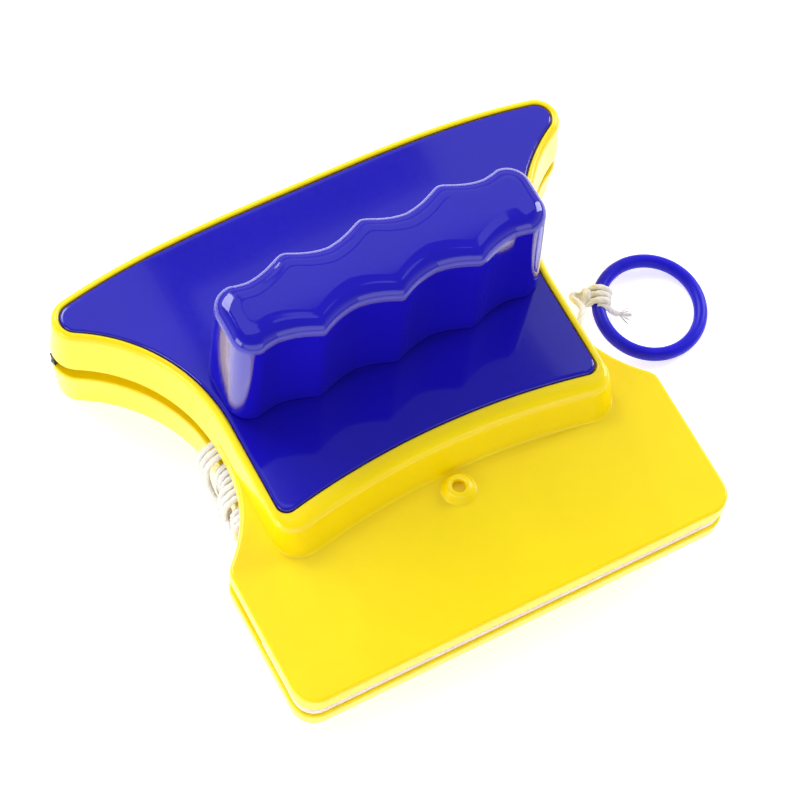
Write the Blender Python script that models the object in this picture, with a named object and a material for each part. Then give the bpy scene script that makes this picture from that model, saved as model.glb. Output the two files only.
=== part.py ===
"""Double-sided magnetic glass cleaner, stored with its two halves face to face.

The outer half lies on its back. The inner half, with the handle, stands on it and is held by
the magnets in both. Each half is modelled the same way up, in its own frame: z = 0 is the edge
of the yellow tray on the glass side, and +z runs towards the blue cover. The outer half is the
same moulding turned over. Sizes are in millimetres and become metres in each mesh. X runs along
the handle, and Y from the thin flange (-) to the wide end (+).
"""
import bpy
import bmesh
from math import acos, asin, atan2, cos, degrees, hypot, pi, radians, sin, sqrt
from mathutils import Matrix, Vector

MM = 0.001
FIT = 0.3                    # clearance between two pieces that touch

# Halves
TRAY_H = 16.0                # glass side of a tray to the face of its cover
STORE_GAP = 5.0              # between the two trays, filled by pads and blades
FLANGE_H = 5.5
FLOOR_T = 1.5
COVER_T = 1.9
SEAT_Z = TRAY_H - COVER_T - FIT

# Plan of the cover, which the tray walls follow at an offset
COVER_X = 46.0               # half width of the straight waist
FRONT_Y = -15.7              # middle of the front edge, which is an arc
FRONT_R = 207.7
WAIST_Y = 8.2                # the waist turns outward here
WAIST_R = 46.7
TIP_X = 67.6
TIP_R = 4.5
WIDE_Y = 61.8                # middle of the wide end
WIDE_POWER = 3.2             # the wide end is nearly straight and drops off near the tips
TIP_TOP_DEG = 78.0
FRONT_CORNER_R = 3.0
WALL_OUT = 3.0               # tray wall outside the cover edge, at the glass side
WALL_DRAFT = 0.07            # the wall leans in by this much for each unit of height

# Plan of the flange
FLANGE_X = 62.3
FLANGE_Y = -64.8
FLANGE_CORNER_R = 6.5
FLANGE_SHOULDER_R = 5.0
FLANGE_NECK_R = 36.6
FLANGE_NECK_Y = 5.15
NECK_FRONT_Y = -23.7         # flange points behind this spread the points of the waist's side

# Points along each stretch of half an outline
N_FRONT, N_CORNER, N_SIDE, N_WAIST, N_TIP, N_WIDE = 5, 4, 9, 7, 5, 6

# Cord hole in the flange, with its conical boss
BOSS_Y = -29.6
BOSS_BASE_R = 4.4
BOSS_TOP_R = 3.0
BOSS_H = 2.8
BOSS_HOLE_R = 1.9
BLIND_HOLE_Z = 6.4           # floor of the unused hole in the inner half

# Handle
GRIP_Y = 17.1
GRIP_LENGTH = 89.4
GRIP_H = 38.0
GRIP_RIDGE = 12.2            # half width at the ridges between the fingers
GRIP_GROOVE = 2.7            # depth of a finger groove
GRIP_PITCH = 21.9
GRIP_DRAFT = 1.1             # the ends lean in by this much over the height
GRIP_EDGE_R = 4.0
GRIP_WALL = 2.5
GRIP_BOSS_X = 26.0
GRIP_BOSS_R = 4.0

# Magnets and yoke
MAGNET_R = 14.0
MAGNET_T = 6.0
MAGNET_X = 18.0
YOKE_SIZE = (84.0, 31.0, 2.0)
POST_X, POST_Y = 36.5, 10.8  # from the middle of the magnets
POST_R = 3.0
SCREW_R = 1.2
PILOT_R = SCREW_R + FIT
SCREW_HEAD_R = 2.6
SCREW_HEAD_H = 1.6

# Pads and blades on the glass side
PROUD = STORE_GAP / 2 - FIT / 2
FRONT_PAD = (-60.4, 60.4, -62.9, -37.0)
FRONT_PAD_CORNER_R = 4.6
FRONT_PAD_BRIM = 1.1         # below the tray the pad spreads almost to the flange's edge
FRONT_PAD_SINK = 3.2
REAR_PAD_Y = 16.5
REAR_PAD_INSET = 6.0
BLADE_Y = 61.3
BLADE_DROP = 8.1
BLADE_X = 75.0
BLADE_T = 1.8
BLADE_LIP_T = 1.0
BLADE_SINK = 3.2
BLADE_ROOT_X = 71.0          # the part set in the groove is shorter than the lip

# Cord, its hank and the finger ring
CORD_D = 1.8
HANK_Y = (-10.6, 13.6)
HANK_THICK = (4.4, 6.6)      # how far the left and right ends of the hank stand off the wall
RING_R = 14.27
RING_TUBE_R = 1.88
RING_AT = (79.4, 3.1)
KNOT_DEG = 146.0             # where on the ring the cord is tied
KNOT_LIFT = 2.3              # the ring is raised here by the turn of cord under it
KNOT_R = 3.75
KNOT_L = 5.5
LEAD_ROUTE = (
    (0.0, -29.6, 7.6), (0.0, -29.6, 11.5), (0.0, -29.6, 15.2), (0.0, -28.3, 18.3),
    (-0.2, -25.2, 19.4), (-0.8, -21.5, 18.9), (-2.0, -17.5, 18.2), (-4.0, -13.2, 17.7),
)
FREE_END_ROUTE = (
    (56.8, 4.2, 18.4), (58.2, 6.2, 15.6), (59.4, 9.4, 11.6), (60.3, 12.4, 7.6),
    (61.2, 14.6, 4.9), (62.5, 15.3, 3.9), (63.9, 14.2, 3.7),
)


def arc(cx, cy, r, start, end, n):
    """n + 1 points on an arc, in degrees."""
    step = radians(end - start) / n
    return [(cx + r * cos(radians(start) + i * step), cy + r * sin(radians(start) + i * step))
            for i in range(n + 1)]


def front_and_side(side, front):
    """Front edge, corner and straight side of an outline that follows the cover at an offset."""
    cy = FRONT_Y - FRONT_R
    r = FRONT_R - front
    corner = FRONT_CORNER_R + 0.45 * max(front, 0.0)
    kx = COVER_X + side - corner
    ky = cy + sqrt((r + corner) ** 2 - kx ** 2)
    lean = degrees(asin(kx / (r + corner)))
    points = arc(0, cy, r, 90, 90 - lean, N_FRONT)
    points += arc(kx, ky, corner, 270 - lean, 360, N_CORNER)[1:]
    points += [(COVER_X + side, ky + (WAIST_Y - ky) * share) for share in side_shares()]
    return points


def side_shares():
    """How far along the straight side each of its points lies, spread as on the flange's side,
    so that the faces between the two do not slant."""
    least_step = 0.02
    ys = [y for x, y in flange_front(0.0)[-N_SIDE:]]
    return [max(least_step * (i + 1), (y - NECK_FRONT_Y) / (WAIST_Y - NECK_FRONT_Y))
            for i, y in enumerate(ys)]


def waist_to_wide_end(side):
    """Hollow waist, round tip and wide end, from the end of the straight side to x = 0."""
    wx = COVER_X + WAIST_R
    tip_y = WAIST_Y + sqrt((WAIST_R + TIP_R) ** 2 - (wx - TIP_X) ** 2)
    turn = degrees(atan2(tip_y - WAIST_Y, TIP_X - wx))
    points = arc(wx, WAIST_Y, WAIST_R - side, 180, turn, N_WAIST)[1:]
    points += arc(TIP_X, tip_y, TIP_R + side, turn - 180, TIP_TOP_DEG, N_TIP)[1:]
    end_x, end_y = points[-1]
    top = WIDE_Y + side
    for i in range(1, N_WIDE + 1):
        x = end_x * (1 - i / N_WIDE)
        points.append((x, top - (top - end_y) * (x / end_x) ** WIDE_POWER))
    return points


def wall_out(z):
    """How far the drafted tray wall stands outside the cover edge at this height."""
    return WALL_OUT - WALL_DRAFT * z


def flange_front(inset):
    """Front edge, corner and shouldered side of the flange, up to the waist, where it runs
    into the foot of the wall."""
    x = FLANGE_X - inset
    y = FLANGE_Y + inset
    corner = FLANGE_CORNER_R - inset
    points = [((x - corner) * i / N_FRONT, y) for i in range(N_FRONT + 1)]
    points += arc(x - corner, y + corner, corner, 270, 360, N_CORNER)[1:]
    shoulder = FLANGE_SHOULDER_R - inset
    neck = FLANGE_NECK_R + inset
    neck_x = COVER_X + WALL_OUT - inset + neck
    reach = neck_x - x + shoulder
    turn = degrees(acos(reach / (neck + shoulder)))
    sy = FLANGE_NECK_Y - sqrt((neck + shoulder) ** 2 - reach ** 2)
    points += [(x, (y + corner + sy) / 2)]
    points += arc(x - shoulder, sy, shoulder, 0, turn, 3)
    points += arc(neck_x, FLANGE_NECK_Y, neck, 180 + turn, 180, 3)[1:]
    points.append((COVER_X + WALL_OUT - inset, WAIST_Y))
    foot = COVER_X + wall_out(FLANGE_H) + 0.1
    return [(max(px, foot) if py > sy else px, py) for px, py in points]


def whole(half, z, rear=None):
    """A closed ring from half an outline. rear gives the height from the waist backwards."""
    count = N_FRONT + N_CORNER + N_SIDE + 1
    heights = [z] * count + [z if rear is None else rear] * (len(half) - count)
    right = [(x, y, h) for (x, y), h in zip(half, heights)]
    return right + [(-x, y, h) for x, y, h in reversed(right[1:-1])]


def tray_ring(side, front, z, rear=None):
    return whole(front_and_side(side, front) + waist_to_wide_end(side), z, rear)


def flange_ring(inset, z, rear=None):
    side = wall_out(z) - (inset if z < 0.5 else 0.0)
    return whole(flange_front(inset) + waist_to_wide_end(side), z, rear)


def skin(rings):
    """A closed mesh over rings of equal length, capped at the first and the last."""
    bm = bmesh.new()
    loops = [[bm.verts.new(Vector(p) * MM) for p in ring] for ring in rings]
    for low, high in zip(loops, loops[1:]):
        for i in range(len(low)):
            j = (i + 1) % len(low)
            bm.faces.new((low[i], low[j], high[j], high[i]))
    bm.faces.new(reversed(loops[0]))
    bm.faces.new(loops[-1])
    return bm


def prism(outline, low, high):
    return skin([[(x, y, low) for x, y in outline], [(x, y, high) for x, y in outline]])


def turned(profile, sides, at=(0.0, 0.0)):
    """A solid of revolution about a vertical axis, from (radius, z) pairs, bottom to top."""
    rings = [[(at[0] + r * cos(2 * pi * i / sides), at[1] + r * sin(2 * pi * i / sides), z)
              for i in range(sides)] for r, z in profile]
    return skin(rings)


def rounded_box(x0, x1, y0, y1, r):
    corners = ((x1 - r, y0 + r, 270), (x1 - r, y1 - r, 0), (x0 + r, y1 - r, 90), (x0 + r, y0 + r, 180))
    return [p for cx, cy, start in corners for p in arc(cx, cy, r, start, start + 90, 4)]


def merge(meshes):
    bm = bmesh.new()
    for part in meshes:
        mesh = bpy.data.meshes.new("piece")
        part.to_mesh(mesh)
        part.free()
        bm.from_mesh(mesh)
        bpy.data.meshes.remove(mesh)
    return bm


def finish(name, bm, material, parent=None, smooth=30.0):
    mesh = bpy.data.meshes.new(name)
    bm.to_mesh(mesh)
    bm.free()
    mesh.shade_smooth()
    mesh.set_sharp_from_angle(angle=radians(smooth))
    obj = bpy.data.objects.new(name, mesh)
    bpy.context.scene.collection.objects.link(obj)
    obj.parent = parent
    if material:
        mesh.materials.append(material)
    return obj


def combine(target, operation, bm, label, parent):
    """Cut a shape out of the target, or join it on. The shape itself is only a guide."""
    tool = finish(target.name + "_" + label, bm, None, parent)
    tool.hide_render = True
    tool.display_type = "WIRE"
    change = target.modifiers.new(label, "BOOLEAN")
    change.operation = operation
    change.object = tool


def material(name, rgb, roughness, metallic=0.0):
    made = bpy.data.materials.new(name)
    made.use_nodes = True
    shader = made.node_tree.nodes["Principled BSDF"]
    shader.inputs["Base Color"].default_value = (*rgb, 1.0)
    shader.inputs["Roughness"].default_value = roughness
    shader.inputs["Metallic"].default_value = metallic
    made.diffuse_color = (*rgb, 1.0)
    return made


def empty(name, location, rotation=(0.0, 0.0, 0.0)):
    made = bpy.data.objects.new(name, None)
    made.location = location
    made.rotation_euler = rotation
    bpy.context.scene.collection.objects.link(made)
    return made


def blade_line(x):
    return BLADE_Y - BLADE_DROP * (abs(x) / BLADE_X) ** 3


def blade_strip(reach, steps, section, end=None, end_section=None):
    """A strip across the wide end, from (offset across the strip, z) corners, anticlockwise.
    With an end section it goes on to that reach at both ends, after a short step."""
    step = 0.1
    stations = [(-reach + 2 * reach * i / steps, section) for i in range(steps + 1)]
    if end:
        tail = [(reach + step, end_section), (end, end_section)]
        stations = [(-x, shape) for x, shape in reversed(tail)] + stations + tail
    rings = []
    for x, shape in stations:
        slope = blade_line(x + 0.5) - blade_line(x - 0.5)
        length = hypot(1.0, slope)
        across = (-slope / length, 1 / length)
        rings.append([(x + u * across[0], blade_line(x) + u * across[1], z) for u, z in shape])
    return skin(rings)


def tray(name, parent, yellow, cord_hole):
    """Moulded tray: thin flange in front, housing with a pocket for the magnets behind. The
    hole in its boss is blind in the half that the cord isn't tied to."""
    top = TRAY_H
    foot = FLANGE_H
    rings = [
        flange_ring(0.6, 0.0),
        flange_ring(0.0, 0.8),
        flange_ring(0.2, foot - 1.1),
        flange_ring(0.5, foot - 0.35),
        flange_ring(1.3, foot, foot + 0.3),
        tray_ring(wall_out(foot), 9.4, foot, foot + 0.6),
        tray_ring(wall_out(foot + 0.7), 8.2, foot + 0.7, foot + 1.2),
        tray_ring(wall_out(foot + 3.0), 7.0, foot + 3.0),
        tray_ring(wall_out(top - 2.6), 5.2, top - 2.6),
        tray_ring(wall_out(top - 0.9) - 0.2, 4.2, top - 0.9),
        tray_ring(wall_out(top) - 0.55, 3.0, top - 0.25),
        tray_ring(wall_out(top) - 1.1, 1.6, top),
        tray_ring(0.0, 0.0, top),
        tray_ring(0.0, 0.0, SEAT_Z),
        tray_ring(-1.2, -1.2, SEAT_Z),
        tray_ring(-1.2, -1.2, FLOOR_T),
    ]
    body = finish(name, skin(rings), yellow, parent)
    posts = [turned(((POST_R, FLOOR_T - 0.6), (POST_R, FLOOR_T + FIT + MAGNET_T)), 16,
                    (sx * POST_X, GRIP_Y + sy * POST_Y)) for sx in (-1, 1) for sy in (-1, 1)]
    combine(body, "UNION", merge(posts), "posts", parent)
    boss = turned(((BOSS_BASE_R, FLANGE_H - 0.6), (BOSS_BASE_R, FLANGE_H + 0.3),
                   (BOSS_TOP_R + 0.3, FLANGE_H + BOSS_H - 0.3), (BOSS_TOP_R, FLANGE_H + BOSS_H)), 20,
                  (0.0, BOSS_Y))
    combine(body, "UNION", boss, "boss", parent)
    pilots = [turned(((PILOT_R, FLOOR_T + 1.2), (PILOT_R, SEAT_Z)), 12,
                     (sx * POST_X, GRIP_Y + sy * POST_Y)) for sx in (-1, 1) for sy in (-1, 1)]
    hole = turned(((BOSS_HOLE_R, -1.0 if cord_hole else BLIND_HOLE_Z),
                   (BOSS_HOLE_R, FLANGE_H + BOSS_H - 0.8),
                   (BOSS_HOLE_R + 1.1, FLANGE_H + BOSS_H + 0.6)), 16, (0.0, BOSS_Y))
    recess = prism(front_pad_outline(0.5), -1.0, FRONT_PAD_SINK)
    half = BLADE_T / 2 + FIT
    groove = blade_strip(BLADE_ROOT_X + 0.5, 26, ((-half, -1.0), (half, -1.0),
                                                  (half, BLADE_SINK), (-half, BLADE_SINK)))
    combine(body, "DIFFERENCE", merge(pilots + [hole, recess, groove]), "cuts", parent)
    return body


def cover(name, parent, blue, screwed):
    """Glossy cover plate that drops into the top of a tray."""
    edge = -0.35
    low = SEAT_Z + FIT
    plate = finish(name, skin([
        tray_ring(edge, edge, low),
        tray_ring(edge, edge, TRAY_H - 0.6),
        tray_ring(edge - 0.2, edge - 0.2, TRAY_H - 0.17),
        tray_ring(edge - 0.7, edge - 0.7, TRAY_H),
    ]), blue, parent)
    if screwed:
        holes = [turned(((PILOT_R, low - 1), (PILOT_R, TRAY_H + 1)), 16, (sx * GRIP_BOSS_X, GRIP_Y))
                 for sx in (-1, 1)]
        combine(plate, "DIFFERENCE", merge(holes), "screw_holes", parent)
    return plate


def grip_half_width(x, shrink):
    """Half width of the grip: shallow round grooves that meet in soft ridges."""
    across = abs(2 * ((x / GRIP_PITCH) % 1.0) - 1)
    from_ridge = 1 - across
    softened = sqrt(from_ridge ** 2 + 0.0144) - 0.12
    return GRIP_RIDGE - GRIP_GROOVE * (1 - (1 - softened) ** 2) - shrink


def grip_ring(z, shrink, lean):
    """One outline of the grip. shrink draws it in all round, lean at the two ends only."""
    end = GRIP_LENGTH / 2 - shrink - lean
    corner = 6.2 - 0.6 * shrink
    straight = end - corner
    flat = grip_half_width(straight, shrink) - corner
    steps = 32
    xs = [-straight + 2 * straight * i / steps for i in range(steps + 1)]
    front = [(x, GRIP_Y - grip_half_width(x, shrink), z) for x in xs]
    right = [(x, y, z) for x, y in arc(straight, GRIP_Y - flat, corner, 270, 360, 4)[1:]]
    right += [(x, y, z) for x, y in arc(straight, GRIP_Y + flat, corner, 0, 90, 4)[:-1]]
    back = [(x, 2 * GRIP_Y - y, z) for x, y, z in reversed(front)]
    left = [(-x, 2 * GRIP_Y - y, z) for x, y, z in right]
    return front + right + back + left


def grip(name, parent, blue):
    """Hollow four-finger grip, open underneath, with two screw bosses inside."""
    low = TRAY_H + FIT
    top = TRAY_H + GRIP_H
    rings = [grip_ring(low, 0.0, 0.0), grip_ring(top - GRIP_EDGE_R, 0.0, GRIP_DRAFT)]
    for turn in (22.5, 45.0, 67.5, 90.0):
        rise = GRIP_EDGE_R * sin(radians(turn))
        draw = GRIP_EDGE_R * (1 - cos(radians(turn)))
        rings.append(grip_ring(top - GRIP_EDGE_R + rise - 0.3, draw, GRIP_DRAFT))
    rings.append(grip_ring(top, GRIP_EDGE_R + 2.5, GRIP_DRAFT))
    shell = finish(name, skin(rings), blue, parent)
    hollow = skin([grip_ring(low - 1.0, GRIP_WALL, 0.0),
                   grip_ring(top - GRIP_WALL - 3.0, GRIP_WALL, GRIP_DRAFT),
                   grip_ring(top - GRIP_WALL, GRIP_WALL + 3.0, GRIP_DRAFT)])
    combine(shell, "DIFFERENCE", hollow, "hollow", parent)
    sides = (-1, 1)
    bosses = [turned(((GRIP_BOSS_R, low + 0.4), (GRIP_BOSS_R - 0.5, top - 1.5)), 20,
                     (sx * GRIP_BOSS_X, GRIP_Y)) for sx in sides]
    combine(shell, "UNION", merge(bosses), "bosses", parent)
    pilots = [turned(((PILOT_R, low - 1), (PILOT_R, low + 11.5)), 12, (sx * GRIP_BOSS_X, GRIP_Y))
              for sx in sides]
    combine(shell, "DIFFERENCE", merge(pilots), "pilots", parent)
    return shell


def screw(name, parent, steel, at, seat, point, length):
    """Pan head screw. seat is the height under its head, and point is +1 for a tip upwards."""
    profile = [(SCREW_HEAD_R * 0.72, -SCREW_HEAD_H), (SCREW_HEAD_R, -0.7), (SCREW_HEAD_R, 0.0),
               (SCREW_R, 0.0), (SCREW_R, length - 1.2), (SCREW_R * 0.5, length)]
    profile = [(r, seat + point * along) for r, along in profile]
    if point < 0:
        profile.reverse()
    return finish(name, turned(profile, 14, at), steel, parent)


def magnet(name, parent, steel, x):
    low = FLOOR_T + FIT
    profile = ((MAGNET_R - 0.4, low), (MAGNET_R, low + 0.4),
               (MAGNET_R, low + MAGNET_T - 0.4), (MAGNET_R - 0.4, low + MAGNET_T))
    return finish(name, turned(profile, 32, (x, GRIP_Y)), steel, parent)


def yoke(name, parent, steel):
    """Steel plate that closes the magnetic circuit and clamps the magnets to the floor."""
    wide, deep, thick = YOKE_SIZE
    low = FLOOR_T + MAGNET_T + 2 * FIT
    outline = rounded_box(-wide / 2, wide / 2, GRIP_Y - deep / 2, GRIP_Y + deep / 2, 4.0)
    plate = finish(name, prism(outline, low, low + thick), steel, parent)
    holes = [turned(((PILOT_R, low - 1), (PILOT_R, low + thick + 1)), 12,
                    (sx * POST_X, GRIP_Y + sy * POST_Y)) for sx in (-1, 1) for sy in (-1, 1)]
    combine(plate, "DIFFERENCE", merge(holes), "screw_holes", parent)
    return plate


def front_pad_outline(grow):
    x0, x1, y0, y1 = FRONT_PAD
    return rounded_box(x0 - grow, x1 + grow, y0 - grow, y1 + grow, FRONT_PAD_CORNER_R + grow)


def front_pad(name, parent, cloth):
    """Foam pad set in its recess, wider where it stands out of it."""
    root = front_pad_outline(0.0)
    full = front_pad_outline(FRONT_PAD_BRIM)
    crown = front_pad_outline(FRONT_PAD_BRIM - 0.6)
    return finish(name, skin([
        [(x, y, -PROUD) for x, y in crown],
        [(x, y, -PROUD + 0.8) for x, y in full],
        [(x, y, -FIT) for x, y in full],
        [(x, y, -FIT) for x, y in root],
        [(x, y, FRONT_PAD_SINK - FIT) for x, y in root],
    ]), cloth, parent)


def rear_pad_outline(grow):
    """Hourglass pad: straight front, sides that follow the waist, and a wide rear edge."""
    wx = COVER_X + WAIST_R
    r = WAIST_R + REAR_PAD_INSET - grow
    front = REAR_PAD_Y - grow
    start = 180 - degrees(asin((front - WAIST_Y) / r))
    side = arc(wx, WAIST_Y, r, start, 128 - 0.8 * grow, 6)
    end_x, end_y = side[-1]
    rear = WIDE_Y - REAR_PAD_INSET + grow
    edge = [(end_x * (1 - i / 6), rear - (rear - end_y - 1.0) * (1 - i / 6) ** WIDE_POWER)
            for i in range(1, 7)]
    right = side + edge
    return right + [(-x, y) for x, y in reversed(right[:-1])]


def rear_pad(name, parent, cloth):
    crown = rear_pad_outline(-0.6)
    full = rear_pad_outline(0.0)
    return finish(name, skin([
        [(x, y, -PROUD) for x, y in crown],
        [(x, y, -PROUD + 0.6) for x, y in full],
        [(x, y, -FIT) for x, y in full],
    ]), cloth, parent)


def blade(name, parent, rubber):
    """Rubber wiper set in a groove along the wide end. Past the groove only its lip goes on."""
    half = BLADE_T / 2
    lip = BLADE_LIP_T / 2
    shoulder = -FIT
    front = ((-lip, -PROUD), (lip, -PROUD), (half, shoulder))
    rear = ((-half, shoulder),)

    def section(top):
        return front + ((half, top), (-half, top)) + rear

    strip = blade_strip(BLADE_ROOT_X, 24, section(BLADE_SINK - FIT),
                        BLADE_X, section(shoulder + 0.05))
    return finish(name, strip, rubber, parent)


def half_cleaner(prefix, parent, with_grip, paint):
    tray(prefix + "_tray", parent, paint["yellow"], not with_grip)
    cover(prefix + "_cover", parent, paint["blue"], with_grip)
    yoke(prefix + "_yoke_plate", parent, paint["steel"])
    for side, x in (("left", -MAGNET_X), ("right", MAGNET_X)):
        magnet(prefix + "_magnet_" + side, parent, paint["magnet"], x)
    seat = FLOOR_T + MAGNET_T + 2 * FIT + YOKE_SIZE[2] + FIT
    number = 0
    for sx in (-1, 1):
        for sy in (-1, 1):
            number += 1
            screw(f"{prefix}_yoke_screw_{number}", parent, paint["zinc"],
                  (sx * POST_X, GRIP_Y + sy * POST_Y), seat, -1, 7.2)
    front_pad(prefix + "_front_pad", parent, paint["cloth"])
    rear_pad(prefix + "_rear_pad", parent, paint["cloth"])
    blade(prefix + "_wiper_blade", parent, paint["rubber"])
    if with_grip:
        grip("handle_grip", parent, paint["blue"])
        for side, sx in (("left", -1), ("right", 1)):
            screw("handle_screw_" + side, parent, paint["zinc"],
                  (sx * GRIP_BOSS_X, GRIP_Y), SEAT_Z, 1, 11.0)


def wall_x(y):
    """How far out the edge of the trays is at this y, near the waist."""
    if y < FLANGE_NECK_Y:
        return COVER_X + WALL_OUT + FLANGE_NECK_R - sqrt(FLANGE_NECK_R ** 2 - (y - FLANGE_NECK_Y) ** 2)
    if y < WAIST_Y:
        return COVER_X + WALL_OUT
    return COVER_X + WAIST_R - sqrt((WAIST_R - WALL_OUT) ** 2 - (y - WAIST_Y) ** 2)


def hank(name, cotton):
    """Outer shape of the spare cord: runs laid across between the trays, and the loops at
    their ends, which hang down over the wall of the outer half on both sides."""
    low = TRAY_H + FIT
    high = TRAY_H + STORE_GAP - FIT
    left, right = HANK_THICK
    near = 0.8
    rings = []
    stations = 8
    for i in range(stations + 1):
        y = HANK_Y[0] + (HANK_Y[1] - HANK_Y[0]) * i / stations
        w = wall_x(y)
        rings.append([
            (-(w - 3), y, low), (w - 3, y, low), (w - 0.3, y, low), (w + near, y, low - 1.2),
            (w + near, y, 1.0), (w + near + 0.8, y, 0.4), (w + right - 0.8, y, 0.4),
            (w + right, y, 1.2), (w + right, y, 12.5), (w + right - 1.6, y, 17.0),
            (w + right - 4.6, y, high - 0.8), (w - 2.2, y, high),
            (-(w - 2.2), y, high), (-(w + left - 2.9), y, high - 1.2), (-(w + left - 0.8), y, 16.2),
            (-(w + left), y, 13.0), (-(w + left), y, 1.2), (-(w + left - 0.8), y, 0.4),
            (-(w + near + 0.6), y, 0.4), (-(w + near), y, 1.0), (-(w + near), y, low - 1.2),
            (-(w - 0.3), y, low),
        ])
    rings = [list(reversed(ring)) for ring in rings]
    return finish(name, skin(rings), cotton, None, 40.0)


def smooth_route(points, step):
    """Evenly spaced points on a smooth curve through the given ones."""
    ends = [Vector(p) for p in points]
    ends = [ends[0] * 2 - ends[1]] + ends + [ends[-1] * 2 - ends[-2]]
    fine = []
    parts = 24
    for a, b, c, d in zip(ends, ends[1:], ends[2:], ends[3:]):
        for i in range(parts):
            t = i / parts
            fine.append(0.5 * (2 * b + (c - a) * t + (2 * a - 5 * b + 4 * c - d) * t ** 2
                               + (3 * b - a - 3 * c + d) * t ** 3))
    fine.append(ends[-2])
    out = [fine[0]]
    for p in fine:
        if (p - out[-1]).length >= step:
            out.append(p)
    if (fine[-1] - out[-1]).length < step / 2:
        out.pop()
    return out + [fine[-1]]


def cord(name, route, cotton):
    curve = bpy.data.curves.new(name, "CURVE")
    curve.dimensions = "3D"
    curve.bevel_depth = CORD_D / 2 * MM
    curve.bevel_resolution = 2
    curve.use_fill_caps = True
    points = smooth_route(route, 2 * CORD_D)
    line = curve.splines.new("POLY")
    line.points.add(len(points) - 1)
    for spot, p in zip(line.points, points):
        spot.co = (*(p * MM), 1.0)
    curve.materials.append(cotton)
    made = bpy.data.objects.new(name, curve)
    bpy.context.scene.collection.objects.link(made)
    return made


def finger_ring(name, blue):
    """Ring lying on the table, lifted a little where the cord passes under it."""
    bm = bmesh.new()
    around, across = 40, 10
    for i in range(around):
        a = 2 * pi * i / around
        for j in range(across):
            b = 2 * pi * j / across
            r = RING_R + RING_TUBE_R * cos(b)
            bm.verts.new(Vector((r * cos(a), r * sin(a), RING_TUBE_R * sin(b))) * MM)
    bm.verts.ensure_lookup_table()
    for i in range(around):
        for j in range(across):
            k, m = (i + 1) % around, (j + 1) % across
            quad = (i * across + j, k * across + j, k * across + m, i * across + m)
            bm.faces.new([bm.verts[v] for v in quad])
    bmesh.ops.transform(bm, matrix=ring_frame(), verts=bm.verts)
    return finish(name, bm, blue, None, 60.0)


def ring_frame():
    """Place of the ring: flat on the table at its far side, raised at the knot."""
    toward = Vector((cos(radians(KNOT_DEG)), sin(radians(KNOT_DEG)), 0.0))
    tilt = asin(KNOT_LIFT / (2 * RING_R))
    axis = toward.cross(Vector((0.0, 0.0, 1.0)))
    height = RING_TUBE_R + 0.05 + KNOT_LIFT / 2
    place = Matrix.Translation(Vector((*RING_AT, height)) * MM)
    return place @ Matrix.Rotation(tilt, 4, axis)


def ring_knot(name, cotton):
    """The turns of cord round the ring, as one sleeve with the ring running through it."""
    half = degrees(KNOT_L / 2 / RING_R)
    inner, outer = RING_TUBE_R + FIT, KNOT_R
    stations = ((-half, inner), (-half, outer - 0.9), (-half * 0.55, outer), (half * 0.55, outer),
                (half, outer - 0.9), (half, inner))
    sides = 14
    bm = bmesh.new()
    loops = []
    for angle, radius in stations:
        a = radians(KNOT_DEG + angle)
        loop = []
        for j in range(sides):
            b = 2 * pi * j / sides
            r = RING_R + radius * cos(b)
            loop.append(bm.verts.new(Vector((r * cos(a), r * sin(a), radius * sin(b))) * MM))
        loops.append(loop)
    for one, two in zip(loops, loops[1:] + loops[:1]):
        for j in range(sides):
            k = (j + 1) % sides
            bm.faces.new((one[j], two[j], two[k], one[k]))
    bmesh.ops.recalc_face_normals(bm, faces=bm.faces)
    bmesh.ops.transform(bm, matrix=ring_frame(), verts=bm.verts)
    return finish(name, bm, cotton, None, 50.0)


def anchor_knot(name, cotton):
    """Stopper knot under the cord hole of the outer half."""
    profile = ((0.9, 2.2), (2.6, 3.0), (3.2, 4.6), (2.9, 6.2), (1.6, 7.2))
    return finish(name, turned(profile, 14, (0.0, BOSS_Y)), cotton, None, 60.0)


def main():
    for obj in list(bpy.data.objects):
        bpy.data.objects.remove(obj)
    paint = {
        "yellow": material("yellow_abs", (0.98, 0.80, 0.03), 0.22),
        "blue": material("blue_abs", (0.045, 0.032, 0.50), 0.15),
        "steel": material("mild_steel", (0.42, 0.42, 0.43), 0.4, 1.0),
        "magnet": material("nickel_plated_magnet", (0.60, 0.58, 0.53), 0.25, 1.0),
        "zinc": material("zinc_plated_steel", (0.62, 0.62, 0.60), 0.3, 1.0),
        "cloth": material("fibre_cloth", (0.86, 0.84, 0.80), 0.9),
        "rubber": material("black_rubber", (0.02, 0.02, 0.02), 0.6),
        "cotton": material("white_cotton", (0.86, 0.84, 0.78), 0.95),
    }
    inner = empty("inner_half", (0.0, 0.0, (TRAY_H + STORE_GAP) * MM))
    outer = empty("outer_half", (0.0, 0.0, TRAY_H * MM), (0.0, pi, 0.0))
    half_cleaner("inner", inner, True, paint)
    half_cleaner("outer", outer, False, paint)
    anchor_knot("cord_anchor_knot", paint["cotton"])
    cord("cord_lead", LEAD_ROUTE, paint["cotton"])
    hank("cord_hank", paint["cotton"])
    cord("cord_free_end", FREE_END_ROUTE, paint["cotton"])
    ring_knot("cord_ring_knot", paint["cotton"])
    finger_ring("finger_ring", paint["blue"])


main()
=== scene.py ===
"""Looks of the magnetic glass cleaner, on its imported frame.

Sizes are in millimetres and become metres in each mesh. Each half is drawn in its own frame,
z = 0 at the glass side and +z towards its cover, and then set in its place: the inner half
above, the outer half turned over below it.
"""
from math import acos, asin, atan2, cos, degrees, hypot, pi, radians, sin, sqrt

import bmesh
import bpy
from mathutils import Matrix, Vector, noise


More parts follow.
